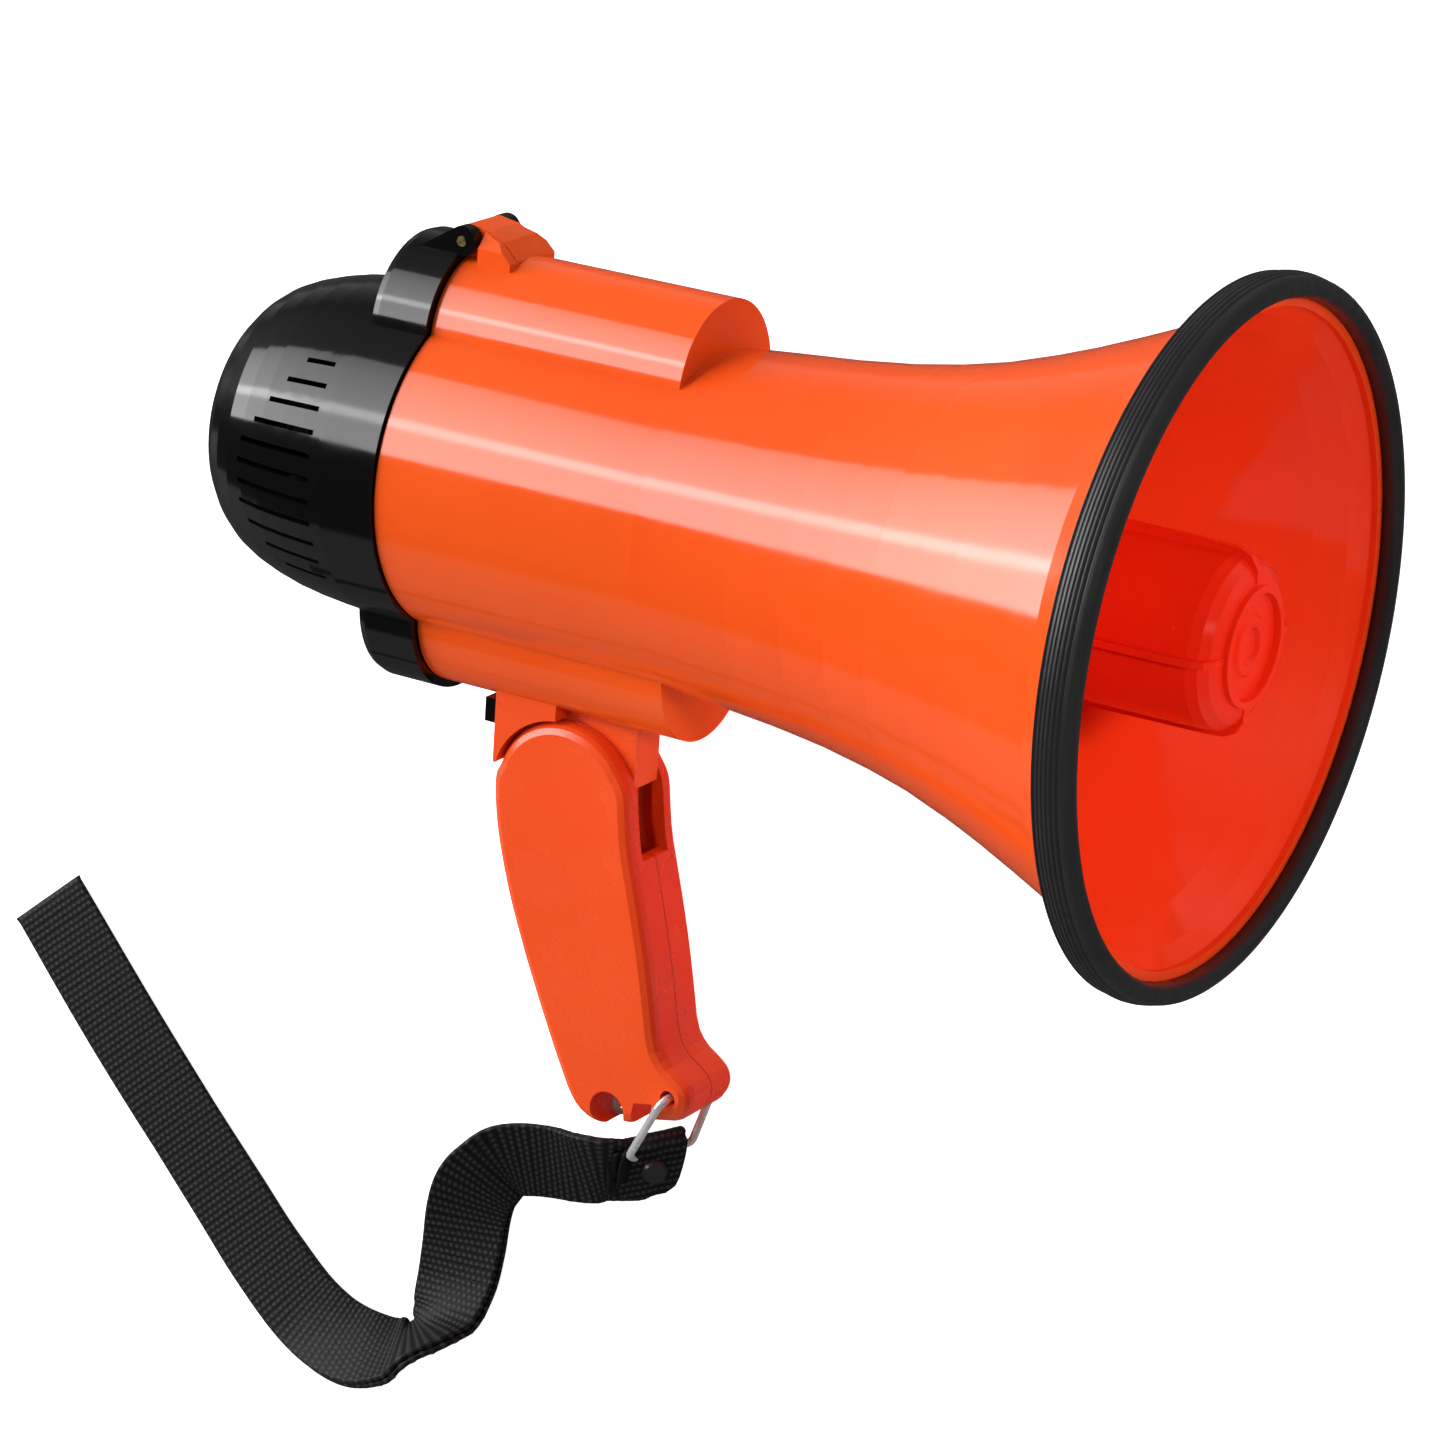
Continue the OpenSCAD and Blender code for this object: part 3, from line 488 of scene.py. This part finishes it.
# ---- strap --------------------------------------------------------------------
# its two edges in mm on the table, from the tab to the folded end
STRAP_EDGES = [
    ((-127.5, -148.6, 8.4), (-129.0, -158.2, 4.6)), ((-132.4, -149.2, 11.2), (-134.2, -160.0, 4.4)),
    ((-138.2, -149.5, 14.5), (-139.8, -162, 5.5)), ((-145, -149, 14), (-145.5, -165, 4)),
    ((-152, -148, 12.5), (-151, -167, 3)), ((-159, -149, 12), (-157, -168, 3)),
    ((-166, -152, 12), (-161.5, -169, 3)), ((-173, -158, 12), (-161.5, -171, 3)),
    ((-178.5, -165, 10), (-161, -173, 3)), ((-181, -174, 7), (-160.5, -176, 3)),
    ((-180.5, -184, 5), (-160, -183, 4)), ((-180, -194, 4), (-160, -191, 6)),
    ((-179.5, -202, 4), (-161.5, -199, 11)), ((-180, -206, 3.5), (-166, -204, 17)),
    ((-181.5, -207, 3.2), (-171.5, -209, 20)), ((-184.5, -207, 3), (-176, -215, 18)),
    ((-189, -206, 3), (-184, -219.5, 14.5)), ((-195, -204, 2.5), (-194.5, -221, 10)),
    ((-203, -199.5, 2.5), (-208, -218, 5)), ((-213.5, -191, 2.2), (-224.5, -207.5, 2.8)),
    ((-227, -179, 2), (-239, -195, 2)), ((-261, -148, 2), (-274, -163.5, 2)),
    ((-289, -121, 2), (-303, -135.5, 2))]
WIDTH = 20.0
HALF_LAYER = 0.70                                           # half of one layer's thickness
LAYER_GAP = 0.74                                            # a layer's middle off the band's
WARP, WEFT = 1.45, 1.6                                      # weave pitch across and along
BUMP = 0.24                                                 # height of the weave
STEP = 0.36                                                 # between rows of vertices

# the tab: folded over the wire ring and riveted, on its own plane
RING_AT = Vector(JOINTS["ring_swing"]["pos_m"])
RING_TURN = math.radians(-4.0)                              # where the ring rests
RIVET = np.array((-128.7, -152.0, 7.7))
TAB_UP = np.array((0.4707, -0.3906, 0.7911))
TAB_U = np.array((0.8672, 0.3702, -0.3331))                 # across the webbing
TAB_V = np.array((0.1628, -0.8429, -0.5129))                # from the fold to the free end
FOLD_V, FOLD_R = -5.4, 2.5
# left and right side of the tab at places down from the fold
TAB_SIDES = [(-9.0, -5.2, 8.6), (-6.0, -6.4, 9.2), (-3.0, -7.6, 8.2), (0.0, -8.8, 6.9),
             (3.0, -9.8, 5.4), (5.0, -9.0, 4.0), (6.2, -6.2, 1.6)]


def spline(points, n):
    """n rows evenly spaced on a centripetal Catmull-Rom curve through the given rows of two
    points, and the length of the line between the two."""
    p = np.array(points, float)
    p = np.vstack([2 * p[0] - p[1], p, 2 * p[-1] - p[-2]])
    t = np.concatenate([[0], np.cumsum(np.linalg.norm(np.diff(p[:, :3], axis=0), axis=1) ** 0.5)])
    out = []
    for i in range(1, len(p) - 2):
        for s in np.linspace(t[i], t[i + 1], 24, endpoint=i == len(p) - 3):
            def lerp(a, b, ta, tb):
                return a + (b - a) * (s - ta) / (tb - ta)
            a1 = lerp(p[i - 1], p[i], t[i - 1], t[i])
            a2 = lerp(p[i], p[i + 1], t[i], t[i + 1])
            a3 = lerp(p[i + 1], p[i + 2], t[i + 1], t[i + 2])
            b1 = lerp(a1, a2, t[i - 1], t[i + 1])
            b2 = lerp(a2, a3, t[i], t[i + 2])
            out.append(lerp(b1, b2, t[i], t[i + 1]))
    out = np.array(out)
    c = (out[:, :3] + out[:, 3:]) / 2
    d = np.concatenate([[0], np.cumsum(np.linalg.norm(np.diff(c, axis=0), axis=1))])
    s = np.linspace(0, d[-1], n)
    return np.stack([np.interp(s, d, out[:, k]) for k in range(out.shape[1])], 1), d[-1]


def unit(v):
    """Rows made one long."""
    return v / np.maximum(np.linalg.norm(v, axis=-1, keepdims=True), 1e-9)


def soften(v, passes):
    """Rows averaged with their neighbours, but for the two ends."""
    for _ in range(passes):
        v[1:-1] = 0.25 * v[:-2] + 0.5 * v[1:-1] + 0.25 * v[2:]
    return v


def weave(u, v):
    """Height of the weave, 0 to 1, at u across and v along in mm: rows of short floats."""
    rib = np.maximum(np.cos(2 * np.pi * v / WEFT), 0)
    knot = 0.5 + 0.5 * np.cos(2 * np.pi * (u / WARP + np.round(v / WEFT) / 2))
    return (rib * knot) ** 0.6


def set_relief(o, values):
    """How far each vertex stands up in the weave, for the material's painted highlights on the
    bumps and painted shade between them.
    """
    a = o.data.attributes.new("relief", "FLOAT", "POINT")
    a.data.foreach_set("value", np.array(values, np.float32))


def band_mesh(centre, across, normal, length, lift, shift, half_width, cols=92):
    """One woven layer that follows a band: lift is its height over the middle surface, and
    shift its way off the middle line."""
    n = len(centre)
    u = np.linspace(-1, 1, cols + 1)
    v = np.linspace(0, length, n)
    verts, relief = [], []
    ring = 2 * (cols + 1)
    edge = np.clip((1 - np.abs(u)) / 0.05, 0, 1) ** 0.5
    for i in range(n):
        c = centre[i] + across[i] * shift[i] + normal[i] * lift[i]
        w = half_width[i]
        top = c + np.outer(u * w, across[i])
        for side in (1, -1):
            knot = weave(u * w + (side < 0) * WARP / 2, v[i])
            h = HALF_LAYER * (0.35 + 0.65 * edge) + BUMP * knot * edge
            verts.append((top + side * h[:, None] * normal[i])[::side])
            relief += list(knot[::side])
    faces = tube_faces(n, ring) + strip_ends(n, ring)
    return [table(p) for p in np.vstack(verts)], faces, relief


def tab_point(u, v, h):
    """Across, down and proud of the tab's middle plane in mm, turned to where the ring rests."""
    p = table(RIVET + u * TAB_U + v * TAB_V + h * TAB_UP)
    return RING_AT + Matrix.Rotation(RING_TURN, 3, EY) @ (p - RING_AT)


def tab():
    """One strip of webbing: up the front, round the wire and down the back."""
    end_v, height, steps = TAB_SIDES[-1][0], 1.15, 44
    front = [(end_v - i * (end_v - FOLD_V) / steps, height) for i in range(steps)]
    turn = [(FOLD_V - FOLD_R * math.sin(a), height - FOLD_R + FOLD_R * math.cos(a) - 0.1)
            for a in np.linspace(0, math.pi, 26)]
    back = [(FOLD_V + i * (end_v - FOLD_V) / steps,
             height - 0.1 - 2 * FOLD_R + 1.6 * min(1, i / 12))
            for i in range(1, steps + 1)]
    path = np.array(front + turn + back)
    step = unit(np.gradient(path, axis=0))
    out = np.stack([step[:, 1], -step[:, 0]], 1)            # proud of the strip
    if out[0][1] < 0:
        out = -out
    run = np.concatenate([[0], np.cumsum(np.linalg.norm(np.diff(path, axis=0), axis=1))])
    places, left, right = np.array(TAB_SIDES).T
    cols = 84
    ring = 2 * (cols + 1)
    s = np.linspace(0, 1, cols + 1)
    edge = np.clip(np.minimum(s, 1 - s) / 0.05, 0, 1) ** 0.5
    verts, relief = [], []
    for i, (v, h) in enumerate(path):
        a, b = np.interp(v, places, left), np.interp(v, places, right)
        u = a + (b - a) * s
        wave = (0.16 * np.sin(u * 0.9 + v * 0.3)
                + 0.5 * np.clip((np.abs(u) - 6) / 4, 0, 1) ** 2)
        knot = weave(u, run[i])
        top = 0.55 * (0.3 + 0.7 * edge) + 0.6 * BUMP * knot * edge
        low = -0.55 * (0.3 + 0.7 * edge)
        for t, back_to in ((top, 1), (low, -1)):
            relief += list(knot[::back_to])
            for k in range(cols + 1)[::back_to]:
                sink = wave[k] * (1 if h > 0 else -0.4)
                verts.append(tab_point(u[k], v + out[i][0] * t[k], h + out[i][1] * t[k] - sink))
    faces = tube_faces(len(path), ring) + strip_ends(len(path), ring)
    o = make_object("strap_tab_fold", verts, faces, MATERIALS["webbing"])
    set_relief(o, relief)
    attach(o, "strap_ring")
    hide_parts("strap_tab")
    return o


def pleats():
    """Short edges of webbing stepped over each other where the strap leaves the tab."""
    verts, faces = [], []
    steps, sides = 12, 6
    for j in range(3):
        shift = 1.5 * j
        base = len(verts)
        for i in range(steps + 1):
            t = i / steps
            v = -7.0 + 11.0 * t
            u = -5.6 - 3.4 * t - shift - 0.5 * math.sin(t * 3.1 + j)
            h = 1.5 - 0.75 * j + 0.5 * math.sin(t * 5 + 2 * j)
            verts += [tab_point(u + a, v, h + b)
                      for a, b in ((1.9, -0.35), (1.4, 0.45), (-0.5, 0.55),
                                   (-0.9, 0.1), (-0.6, -0.5), (1.6, -0.8))]
        faces += tube_faces(steps + 1, sides, base)
        faces += [tuple(base + e * sides + k for k in range(sides)) for e in (0, steps)]
    o = make_object("strap_pleats", verts, faces, MATERIALS["webbing"])
    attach(o, "strap_ring")
    return o


def strap():
    """The doubled webbing: two woven layers along one band, with its tab and pleats."""
    edges = [a + b for a, b in STRAP_EDGES]
    n = int(spline(edges, 2)[1] / STEP)
    rows, length = spline(edges, n)
    centre = (rows[:, :3] + rows[:, 3:]) / 2
    across = unit(soften(rows[:, 3:] - rows[:, :3], 12))
    centre = soften(centre, 6)
    along = unit(np.gradient(centre, axis=0))
    normal = unit(np.cross(along, across))
    across = unit(np.cross(normal, along))
    normal *= np.sign(normal[-1][2])
    s = np.linspace(0, 1, n)
    # the two layers lie a little off each other, and meet at the folded end
    near_end = np.clip((1 - s) * length / 2.2, 0, 1)
    gap = LAYER_GAP * np.sqrt(near_end * (2 - near_end))
    drift = 0.45 * np.sin(s * 9.0) + 0.5
    half_w = WIDTH / 2 - 0.25 - 3.0 * np.exp(-s * length / 3.5)
    verts, faces, relief = [], [], []
    for side in (1, -1):
        v, f, knots = band_mesh(centre, across, normal, length, side * gap,
                                -side * drift * 0.5, half_w)
        faces += [tuple(i + len(verts) for i in q) for q in f]
        verts += v
        relief += knots
    o = make_object("strap_webbing", verts, faces, MATERIALS["webbing"])
    set_relief(o, relief)
    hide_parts("strap")
    tab()
    pleats()
    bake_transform(o)


strap()


# ---- stage and light ----------------------------------------------------------
def floor():
    """A white floor that reflects in nothing."""
    r = 8.0
    me = bpy.data.meshes.new("floor")
    me.from_pydata([(-r, -r, 0), (r, -r, 0), (r, r, 0), (-r, r, 0)], [], [(0, 1, 2, 3)])
    o = bpy.data.objects.new("floor", me)
    bpy.context.scene.collection.objects.link(o)
    k = Nodes("floor_look")
    k.color(k.mix(k.noise(3, 2), rgb(0.86, 0.86, 0.86), rgb(0.9, 0.9, 0.9)))
    k.rough(k.span(k.noise(20), 0.3, 0.7, 0.8, 0.95))
    k.b.inputs["Specular IOR Level"].default_value = 0.0
    k.b.inputs["Emission Color"].default_value = rgb(1, 1, 1)
    k.b.inputs["Emission Strength"].default_value = 0.93
    me.materials.append(k.m)
    o.visible_glossy = False


def fill_ramp(els, ramp):
    """Grey stops (place, value) of a colour ramp."""
    while len(els) > 1:
        els.remove(els[-1])
    els[0].position = ramp[0][0]
    els[0].color = (ramp[0][1],) * 3 + (1,)
    for p, v in ramp[1:]:
        els.new(p).color = (v,) * 3 + (1,)


def panel(name, centre, normal, along, length, width, ramp, strength):
    """A soft box: ramp is brightness across its width, if it isn't even."""
    d = bpy.data.lights.new(name, "AREA")
    d.shape = "RECTANGLE"
    d.size, d.size_y = length, width
    d.energy = strength * length * width * math.pi      # radiance strength, 1 = white
    z = normal.normalized()
    x = (along - z * along.dot(z)).normalized()
    y = z.cross(x)
    m = Matrix((x, y, z)).transposed().to_4x4()
    m.translation = centre
    o = bpy.data.objects.new(name, d)
    bpy.context.scene.collection.objects.link(o)
    o.matrix_world = m
    o.visible_camera = False
    if ramp:
        d.use_nodes = True
        t = d.node_tree
        e = t.nodes["Emission"]
        g = t.nodes.new("ShaderNodeNewGeometry")
        sep = t.nodes.new("ShaderNodeSeparateXYZ")
        cr = t.nodes.new("ShaderNodeValToRGB")
        t.links.new(g.outputs["Parametric"], sep.inputs[0])
        t.links.new(sep.outputs["Y"], cr.inputs[0])
        t.links.new(cr.outputs[0], e.inputs["Strength"])
        fill_ramp(cr.color_ramp.elements, ramp)
    return o


AXIS = horn_dir((0.936, -0.333, 0.112))                     # long side of the soft boxes
CENTRE = horn(-110)                                         # what they are aimed at


def square_to_axis(v):
    """The part of a horn direction that is square to AXIS."""
    d = horn_dir(v)
    return (d - AXIS * d.dot(AXIS)).normalized()


def strip(name, towards, span_deg, near, far, dist, ramp, strength):
    """A panel along AXIS at a distance from CENTRE: span_deg wide, and long from near to far
    times the distance."""
    d = square_to_axis(towards)
    w = 2 * dist * math.tan(math.radians(span_deg) / 2)
    mid = CENTRE + d * dist + AXIS * dist * (near + far) / 2
    return panel(name, mid, d, AXIS, dist * abs(far - near), w, ramp, strength)


# what glossy surfaces see beside the lights: degrees below the main box, radiance
ROOM = [(-180, 0.05), (-112, 0.1), (-104, 0.3), (-70, 0.09), (-31, 0.32), (31, 0.03),
        (72, 0.03), (74, 0.3), (127, 0.1), (180, 0.05)]
AMBIENT = 0.13


def world():
    """White to the camera, dim to diffuse rays, soft bands of room light to glossy rays."""
    w = bpy.data.worlds.new("studio")
    bpy.context.scene.world = w
    w.use_nodes = True
    t = w.node_tree

    def link(a, b):
        t.links.new(a, b)

    look = t.nodes.new("ShaderNodeTexCoord").outputs["Generated"]
    main = square_to_axis((-0.36, -0.70, 0.46))
    parts = []
    for v in (main, AXIS.cross(main)):
        dot = t.nodes.new("ShaderNodeVectorMath")
        dot.operation = "DOT_PRODUCT"
        link(look, dot.inputs[0])
        dot.inputs[1].default_value = v
        parts.append(dot.outputs["Value"])
    turn = t.nodes.new("ShaderNodeMath")
    turn.operation = "ARCTAN2"
    link(parts[1], turn.inputs[0])
    link(parts[0], turn.inputs[1])
    place = t.nodes.new("ShaderNodeMapRange")
    link(turn.outputs[0], place.inputs[0])
    place.inputs[1].default_value = -math.pi
    place.inputs[2].default_value = math.pi
    bands = t.nodes.new("ShaderNodeValToRGB")
    link(place.outputs[0], bands.inputs[0])
    fill_ramp(bands.color_ramp.elements, [((a + 180) / 360, v) for a, v in ROOM])
    path = t.nodes.new("ShaderNodeLightPath")
    seen = [("Is Glossy Ray", bands.outputs[0]), ("Is Camera Ray", rgb(1, 1, 1))]
    last = rgb(AMBIENT, AMBIENT, AMBIENT)
    for kind, value in seen:
        mix = t.nodes.new("ShaderNodeMix")
        mix.data_type = "RGBA"
        link(path.outputs[kind], mix.inputs[0])
        for socket, v in ((mix.inputs[6], last), (mix.inputs[7], value)):
            if isinstance(v, tuple):
                socket.default_value = v
            else:
                link(v, socket)
        last = mix.outputs[2]
    link(last, t.nodes["Background"].inputs[0])


def snoot(name, towards, distance, size, spread_deg, power):
    """A narrow beam into the mouth, which leaves no highlight."""
    d = bpy.data.lights.new(name, "AREA")
    d.shape = "DISK"
    d.size = size
    d.spread = math.radians(spread_deg)
    d.energy = power
    z = horn_dir(towards)
    o = bpy.data.objects.new(name, d)
    bpy.context.scene.collection.objects.link(o)
    m = z.to_track_quat("Z", "Y").to_matrix().to_4x4()
    m.translation = horn(0) + z * distance
    o.matrix_world = m
    o.visible_camera = False
    o.visible_glossy = False


# brightness across the main soft box: one bright line between two soft slopes
MAIN_RAMP = [(0.0, 0.58), (0.24, 0.52), (0.31, 0.52), (0.35, 1.0), (0.41, 1.0), (0.45, 0.46),
             (0.75, 0.33), (1.0, 0.2)]

floor()
world()
strip("soft_box_main", towards=(-0.334, -0.746, 0.576), span_deg=50.5, near=-1.75, far=-0.05,
      dist=2.5, ramp=MAIN_RAMP, strength=12.0)
side_fill = strip("side_fill", towards=(-0.1, -0.95, -0.1), span_deg=50, near=-0.5, far=0.5,
                  dist=2.5, ramp=None, strength=0.75)
side_fill.visible_glossy = False
snoot("mouth_fill", towards=(0.8, -0.5, 0.33), distance=0.5, size=0.17, spread_deg=10,
      power=0.042)
bpy.context.scene.view_settings.view_transform = "Standard"
